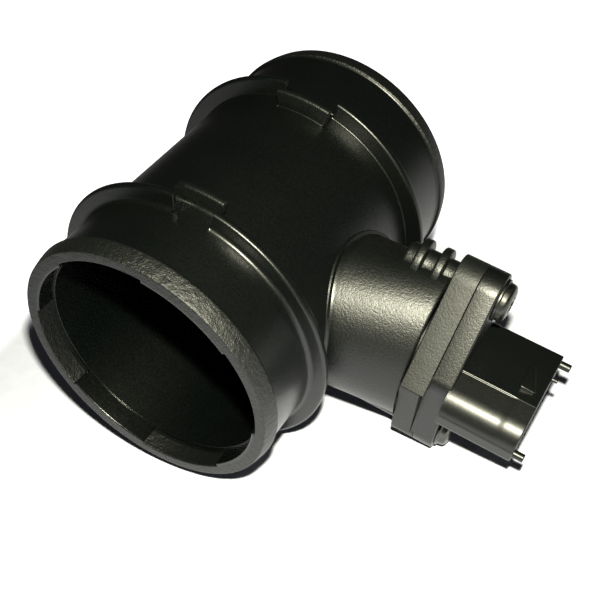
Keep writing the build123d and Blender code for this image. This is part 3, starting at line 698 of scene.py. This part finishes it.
def mouldedPlastic(name, look):
    # spark-eroded mould skin: fine grain, small light fibres, flow clouds and a smoother core side
    material, nodes, links, shader, coords = materialNodes(name)

    def calc(operation, *values):
        return mathNode(nodes, links, operation, *values)

    def ease(value, low, high, toLow=0.0, toHigh=1.0):
        return easeNode(nodes, links, value, low * mm, high * mm, toLow, toHigh)

    zone = skinZones
    fine = noise(nodes, links, coords, look["fine"], 2.0, 0.6)
    pits = noise(nodes, links, coords, look["pits"], 3.0, 0.65)
    flow = noise(nodes, links, coords, look["flow"], 4.0, 0.6)
    cloud = noise(nodes, links, coords, 60.0, 3.0, 0.5)
    scars = noise(nodes, links, coords, look["scars"], 4.0, 0.65)
    axes = nodes.new("ShaderNodeSeparateXYZ")
    links.new(coords, axes.inputs["Vector"])
    flat = nodes.new("ShaderNodeCombineXYZ")
    links.new(axes.outputs["X"], flat.inputs["X"])
    links.new(axes.outputs["Z"], flat.inputs["Z"])
    far = nodes.new("ShaderNodeVectorMath")
    far.operation = "LENGTH"
    links.new(flat.outputs["Vector"], far.inputs[0])
    radius = far.outputs["Value"]
    reach = nodes.new("ShaderNodeVectorMath")
    reach.operation = "DOT_PRODUCT"
    reach.inputs[1].default_value = stubDir
    links.new(coords, reach.inputs[0])
    station = reach.outputs["Value"]

    # masks: outside of the bore, the stub with its flanges, the flanges alone, and both beads
    outside = ease(radius, zone["coreTo"], zone["outsideFrom"])
    beside = calc("ABSOLUTE", calc("SUBTRACT", axes.outputs["Y"], stub["along"] * mm))
    branch = calc("MULTIPLY", ease(radius, zone["tubeTo"], zone["branchFrom"]),
                  ease(beside, zone["stubTo"], zone["besideFrom"], 1.0, 0.0))
    run = zone["flangeRun"]
    branch = calc("MULTIPLY", branch, ease(station, flange["top"] - run, flange["top"] + run, 1.0, 0.0))
    plate = calc("MULTIPLY", branch, ease(station, flange["base"] - run, flange["base"] + run))
    middle = tube["length"] / 2
    beadFrom = middle - tube["beadWidth"]
    fromMiddle = calc("ABSOLUTE", calc("SUBTRACT", axes.outputs["Y"], middle * mm))
    bead = ease(fromMiddle, beadFrom - zone["beadRun"], beadFrom)
    coarse = calc("MAXIMUM", branch, bead)

    base = ramp(nodes, links, cloud, [(0.3, look["dark"]), (0.7, look["light"])])
    flecks = ramp(nodes, links, fine, [(0.56, (0.0, 0.0, 0.0)), (0.72, look["fleck"])])
    links.new(mix(nodes, links, 1.0, base, flecks, "ADD"), shader.inputs["Base Color"])
    skin = spread(nodes, links, pits, look["roughLow"], look["roughHigh"])
    core = spread(nodes, links, pits, look["coreLow"], look["coreHigh"])
    for mask, more in ((coarse, "coarseRough"), (bead, "beadRough"), (plate, "plateRough")):
        skin = calc("MULTIPLY_ADD", mask, look[more], skin)
    inside = calc("SUBTRACT", 1.0, outside)
    rough = calc("ADD", calc("MULTIPLY", skin, outside), calc("MULTIPLY", core, inside))
    links.new(rough, shader.inputs["Roughness"])
    shader.inputs["Specular IOR Level"].default_value = 0.5
    grain = calc("MULTIPLY_ADD", coarse, look["coarse"], look["grain"])
    grain = calc("MULTIPLY", grain, ease(radius, zone["coreTo"], zone["outsideFrom"], 0.4, 1.0))
    scarred = calc("MULTIPLY", calc("MULTIPLY", bead, look["scarHeight"]), outside)
    bump(nodes, links, shader, [(flow, look["flowHeight"], 0.0003), (scars, scarred, 0.0004),
                                (pits, grain, 0.0001), (fine, grain, 0.00005)])
    return material


def metal(name, colour, darker, roughLow, roughHigh, stretch=(1.0, 1.0, 1.0)):
    # streaks in the gloss, and stains between two tones of the metal
    material, nodes, links, shader, coords = materialNodes(name)
    streak = noise(nodes, links, coords, 900.0, 3.0, 0.6, stretch)
    stain = noise(nodes, links, coords, 120.0, 3.0, 0.55)
    links.new(ramp(nodes, links, stain, [(0.32, darker), (0.62, colour)]), shader.inputs["Base Color"])
    links.new(spread(nodes, links, streak, roughLow, roughHigh), shader.inputs["Roughness"])
    shader.inputs["Metallic"].default_value = 1.0
    bump(nodes, links, shader, [(streak, 0.4, 0.00002)])
    return material


def dullBody(name, dark, light, roughLow, roughHigh, scale=700.0, clear=0.0):
    # speckles between two tones, and clouds in the gloss
    material, nodes, links, shader, coords = materialNodes(name)
    speckle = noise(nodes, links, coords, scale, 3.0, 0.6)
    cloud = noise(nodes, links, coords, 150.0, 2.0, 0.5)
    links.new(ramp(nodes, links, speckle, [(0.35, dark), (0.65, light)]), shader.inputs["Base Color"])
    links.new(spread(nodes, links, cloud, roughLow, roughHigh), shader.inputs["Roughness"])
    shader.inputs["Coat Weight"].default_value = clear
    bump(nodes, links, shader, [(speckle, 0.4, 0.00002)])
    return material


print("stage: materials")
housingLook = {"dark": (0.0006, 0.0012, 0.001), "light": (0.0012, 0.0018, 0.0016),
               "fleck": (0.0015, 0.0017, 0.0015), "fine": 2900.0, "pits": 1700.0, "flow": 230.0,
               "flowHeight": 0.22, "grain": 0.3, "coarse": 0.5, "roughLow": 0.30, "roughHigh": 0.38,
               "coarseRough": 0.07, "beadRough": 0.08, "plateRough": 0.12, "scars": 650.0,
               "scarHeight": 1.0, "coreLow": 0.22, "coreHigh": 0.32}
# the module's skin is finer and has no scars
moduleLook = {**housingLook, "flowHeight": 0.1, "grain": 0.08, "coarse": 0.4, "roughLow": 0.34,
              "roughHigh": 0.39, "coarseRough": 0.02, "beadRough": 0.0, "plateRough": 0.0,
              "scarHeight": 0.0, "coreLow": 0.25, "coreHigh": 0.35}
finishes = {
    "housing_plastic": mouldedPlastic("housingPlastic", housingLook),
    "module_plastic": mouldedPlastic("modulePlastic", moduleLook),
    "seal_rubber": dullBody("sealRubber", (0.012, 0.012, 0.012), (0.02, 0.02, 0.02), 0.5, 0.65),
    "screw_steel": metal("screwSteel", (0.12, 0.118, 0.11), (0.05, 0.05, 0.048), 0.25, 0.45),
    "terminal_tin": metal("terminalTin", (0.72, 0.7, 0.66), (0.5, 0.48, 0.44),
                          0.2, 0.35, (0.1, 1.0, 1.0)),
    "plate_aluminium": metal("plateAluminium", (0.66, 0.67, 0.68), (0.5, 0.51, 0.52),
                             0.3, 0.5, (0.1, 1.0, 1.0)),
    "board_ceramic": dullBody("boardCeramic", (0.1, 0.26, 0.19), (0.15, 0.34, 0.25), 0.25, 0.4),
    "chip_black": dullBody("chipBlack", (0.012, 0.012, 0.014), (0.03, 0.03, 0.033), 0.3, 0.5),
    "capacitor_tan": dullBody("capacitorTan", (0.4, 0.29, 0.17), (0.52, 0.4, 0.26), 0.35, 0.5),
    "carrier_plastic": dullBody("carrierPlastic", (0.05, 0.055, 0.06), (0.09, 0.095, 0.1), 0.35, 0.5),
    "sensor_silicon": metal("sensorSilicon", (0.36, 0.38, 0.46), (0.26, 0.28, 0.36), 0.05, 0.12),
    "bead_epoxy": dullBody("beadEpoxy", (0.02, 0.03, 0.07), (0.04, 0.06, 0.12), 0.12, 0.25, clear=0.5),
    "bond_aluminium": metal("bondAluminium", (0.8, 0.8, 0.8), (0.7, 0.7, 0.7), 0.2, 0.3),
    "gel_clear": dullBody("gelClear", (0.7, 0.75, 0.8), (0.8, 0.85, 0.9), 0.08, 0.16),
    "cover_plastic": dullBody("coverPlastic", (0.012, 0.013, 0.0125), (0.02, 0.022, 0.021),
                              0.32, 0.45, 1500.0),
    "grid_plastic": dullBody("gridPlastic", (0.012, 0.013, 0.0125), (0.022, 0.024, 0.023),
                             0.32, 0.48, 1500.0),
    "screen_steel": metal("screenSteel", (0.6, 0.6, 0.6), (0.42, 0.42, 0.41), 0.22, 0.35),
    "ring_steel": metal("ringSteel", (0.55, 0.55, 0.54), (0.4, 0.4, 0.39),
                        0.22, 0.38, (1.0, 0.15, 1.0)),
}
gel = finishes["gel_clear"].node_tree.nodes["Principled BSDF"]
gel.inputs["Transmission Weight"].default_value = 0.85
gel.inputs["IOR"].default_value = 1.4

for part in frame["record"]["subparts"]:
    node = frame["nodes"][part["node"]]
    node.data.materials.clear()
    node.data.materials.append(finishes[part["material_slot"]])


def finish(piece, slotName, *nodes):
    piece.data.materials.clear()
    piece.data.materials.append(finishes[slotName])
    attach(piece, "root")
    if nodes:
        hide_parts(*nodes)
    return piece


print("stage: housing")
shell = meshPiece("tubeShell", [airTubeShell()])
slotHalf, slotThick = finger["width"] / 2 + 0.4, finger["thick"] / 2 + 0.4
cutPiece(shell, [blockPiece((20.0, -slotHalf, -slotThick), (33.2, slotHalf, slotThick))])
shell.data.shade_smooth()
shell.data.set_sharp_from_angle(angle=radians(38))
finish(shell, "housing_plastic", "air_tube")
finish(meshPiece("stopRibs", stopRibs()), "housing_plastic", "air_tube")
finish(meshPiece("stubWall", [stubSheet()]), "housing_plastic", "air_tube")
finish(meshPiece("screwBosses", [bossSheet(1), bossSheet(-1)]), "housing_plastic", "air_tube")
housingTop = flange["seam"] - flange["gap"] / 2
finish(meshPiece("housingFlange", [flangeSheet("housing", flange["base"], housingTop,
                                               0.3, 0.12, 0.0, flange["pad"])]),
       "housing_plastic", "air_tube")

print("stage: sensor module")
moduleBase = flange["seam"] + flange["gap"] / 2
finish(meshPiece("moduleFlange", [flangeSheet("module", moduleBase, flange["top"],
                                              0.12, flange["edge"], flange["pad"], 0.0)]),
       "module_plastic", "sensor_body")
rearEdge = connector["offset"] + connector["width"] / 2
frontEdge = connector["offset"] - connector["width"] / 2
pegIn = connector["peg"] + connector["pegInset"]
pegPlaces = [(rearEdge - pegIn, "rearPegRise", "peg", "pegLength"),
             (frontEdge + pegIn, "frontPegRise", "peg", "pegLength"),
             (connector["pinAlong"], "pinRise", "pin", "pinLength")]
pegs = [pegSheet(along, *(connector[key] for key in keys)) for along, *keys in pegPlaces]
finish(meshPiece("connectorShell", [connectorSheet(), latchSheet(), *pegs]),
       "module_plastic", "sensor_body")
finish(meshPiece("modulePlug", [plugSheet()]), "module_plastic", "sensor_body")
finish(fingerPiece(), "module_plastic", "sensor_body")
finish(meshPiece("upperScrew", [screwSheet(1)]), "screw_steel", "upper_screw")
finish(meshPiece("lowerScrew", [screwSheet(-1)]), "screw_steel", "lower_screw")

print("stage: rear mouth")
finish(meshPiece("wovenScreen", screenSheets(), 60.0), "screen_steel", "wire_screen")
finish(meshPiece("retainingRing", [ringSheet()]), "ring_steel", "screen_ring")

# floor, light and camera
stageSet = {"floor": -38.52, "size": 1.6, "fill": 0.02,
            "clearAbout": (0.008, 0.024), "clearFrom": 0.088, "clearTo": 0.104}
cameraSet = {"right": (0.85092, 0.50594, -0.14131), "back": (0.46229, -0.59348, 0.65884),
             "at": (133.87, -108.65, 150.04), "lens": 57.42, "sensor": 36.0,
             "shiftX": -0.003, "shiftY": 0.0505}
lampSet = {"from": (0.406, -0.525, 0.748), "aim": (0.03, 0.045, -0.01), "distance": 0.257, "size": 0.01,
           "power": 2.2, "colour": (1.0, 0.98, 0.76)}


def floorPiece():
    half = stageSet["size"]
    z = stageSet["floor"] * mm
    mesh = bpy.data.meshes.new("floor")
    corners = [(-half, -half, z), (half, -half, z), (half, half, z), (-half, half, z)]
    mesh.from_pydata(corners, [], [(0, 1, 2, 3)])
    piece = bpy.data.objects.new("floor", mesh)
    bpy.context.scene.collection.objects.link(piece)
    material, nodes, links, shader, coords = materialNodes("floorPaper")
    paper = noise(nodes, links, coords, 300.0)
    links.new(ramp(nodes, links, paper, [(0.3, (0.62, 0.64, 0.78)), (0.7, (0.66, 0.68, 0.82))]),
              shader.inputs["Base Color"])
    # away from the unit the paper burns out to white for the camera, and lights nothing
    away = nodes.new("ShaderNodeVectorMath")
    away.operation = "DISTANCE"
    away.inputs[1].default_value = (*stageSet["clearAbout"], stageSet["floor"] * mm)
    links.new(coords, away.inputs[0])
    clear = nodes.new("ShaderNodeMapRange")
    clear.interpolation_type = "SMOOTHSTEP"
    clear.inputs["From Min"].default_value = stageSet["clearFrom"]
    clear.inputs["From Max"].default_value = stageSet["clearTo"]
    links.new(away.outputs["Value"], clear.inputs["Value"])
    seen = nodes.new("ShaderNodeLightPath")
    glow = nodes.new("ShaderNodeMath")
    glow.operation = "MULTIPLY"
    links.new(clear.outputs["Result"], glow.inputs[0])
    links.new(seen.outputs["Is Camera Ray"], glow.inputs[1])
    shader.inputs["Emission Color"].default_value = (1.0, 1.0, 1.0, 1.0)
    links.new(glow.outputs["Value"], shader.inputs["Emission Strength"])
    shader.inputs["Roughness"].default_value = 0.9
    shader.inputs["Specular IOR Level"].default_value = 0.1
    mesh.materials.append(material)
    return piece


print("stage: stage and light")
floorPiece()
world = bpy.data.worlds.new("studio")
bpy.context.scene.world = world
world.use_nodes = True
worldNodes, worldLinks = world.node_tree.nodes, world.node_tree.links
background = worldNodes["Background"]
background.inputs["Color"].default_value = (1.0, 1.0, 1.0, 1.0)
pathInfo = worldNodes.new("ShaderNodeLightPath")
strength = worldNodes.new("ShaderNodeMapRange")
strength.inputs["To Min"].default_value = stageSet["fill"]
strength.inputs["To Max"].default_value = 1.0
worldLinks.new(pathInfo.outputs["Is Camera Ray"], strength.inputs["Value"])
worldLinks.new(strength.outputs["Result"], background.inputs["Strength"])

camera = bpy.data.objects.new("camera", bpy.data.cameras.new("camera"))
bpy.context.scene.collection.objects.link(camera)
right, back = unit(cameraSet["right"]), unit(cameraSet["back"])
matrix = np.eye(4)
matrix[:3, 0], matrix[:3, 1], matrix[:3, 2] = right, np.cross(back, right), back
matrix[:3, 3] = np.array(cameraSet["at"]) * mm
camera.matrix_world = Matrix(matrix.tolist())
camera.data.lens = cameraSet["lens"]
camera.data.sensor_width = cameraSet["sensor"]
camera.data.shift_x = cameraSet["shiftX"]
camera.data.shift_y = cameraSet["shiftY"]
camera.data.clip_start = 0.01
bpy.context.scene.camera = camera

light = bpy.data.lights.new("keyLamp", "AREA")
light.size = lampSet["size"]
light.energy = lampSet["power"]
light.color = lampSet["colour"]
lamp = bpy.data.objects.new("keyLamp", light)
bpy.context.scene.collection.objects.link(lamp)
aim = unit(lampSet["from"])
side = unit(np.cross((0, 0, 1), aim))
matrix = np.eye(4)
matrix[:3, 0], matrix[:3, 1], matrix[:3, 2] = side, np.cross(aim, side), aim
matrix[:3, 3] = np.array(lampSet["aim"]) + aim * lampSet["distance"]
lamp.matrix_world = Matrix(matrix.tolist())

bpy.context.scene.view_settings.view_transform = "Standard"

print("stage: done")
